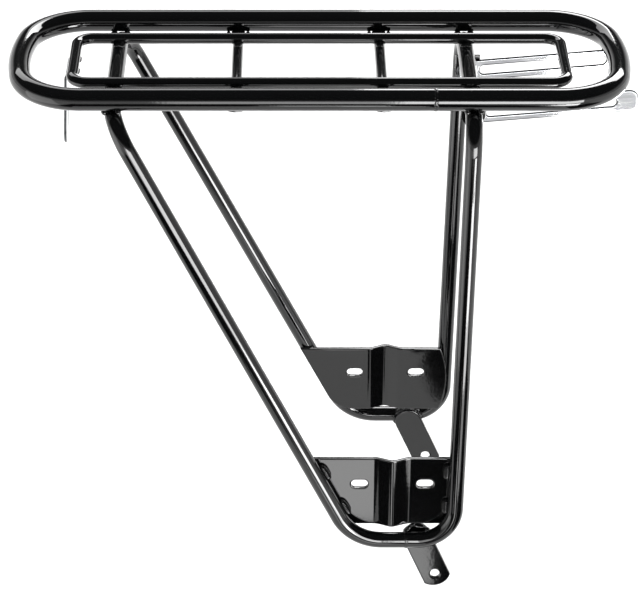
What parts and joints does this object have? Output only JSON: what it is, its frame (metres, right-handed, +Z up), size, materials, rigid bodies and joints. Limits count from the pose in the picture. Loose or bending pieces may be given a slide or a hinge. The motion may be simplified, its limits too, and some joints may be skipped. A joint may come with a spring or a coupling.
{
  "type": "bicycle luggage carrier",
  "caption": "Rear luggage carrier for a bicycle: a rounded tubular platform on two braced leg frames, with swinging slotted front stays, axle tabs and a rear light bracket.",
  "frame": {"origin": "midpoint of the line through the two axle tab holes", "axes": "+X forwards along the bicycle, +Y to its left, +Z up; the part mirrors across Y = 0"},
  "size_m": [0.4467, 0.1912, 0.4065],
  "materials": {
    "paint": "gloss black powder coat on steel",
    "chrome": "polished chrome plate",
    "zinc": "bright zinc plate"
  },
  "bodies": {
    "carrier": {"axle_tab_left": "paint", "axle_tab_right": "paint", "cross_bar_front": "paint", "cross_bar_rear": "paint", "front_leg_frame": "paint", "gusset_plate_left": "paint", "gusset_plate_right": "paint", "inner_loop": "paint", "inner_washer_left": "zinc", "inner_washer_right": "zinc", "light_bracket": "chrome", "outer_loop": "paint", "outer_washer_left": "zinc", "outer_washer_right": "zinc", "rear_leg_frame": "paint", "stay_bolt_left": "zinc", "stay_bolt_right": "zinc", "stay_lug_left": "paint", "stay_lug_right": "paint", "stay_nut_left": "zinc", "stay_nut_right": "zinc"},
    "stay_left_body": {"stay_left": "chrome"},
    "stay_right_body": {"stay_right": "chrome"}
  },
  "joints": [
    {"name": "stay_right_swing", "type": "hinge", "parent": "carrier", "child": "stay_right_body", "pos_m": [0.02, -0.0356, 0.3623], "axis": [0, 1, 0], "range_deg": [0, 180]},
    {"name": "stay_left_swing", "type": "hinge", "parent": "carrier", "child": "stay_left_body", "pos_m": [0.02, 0.0356, 0.3623], "axis": [0, 1, 0], "range_deg": [0, 180]}
  ]
}
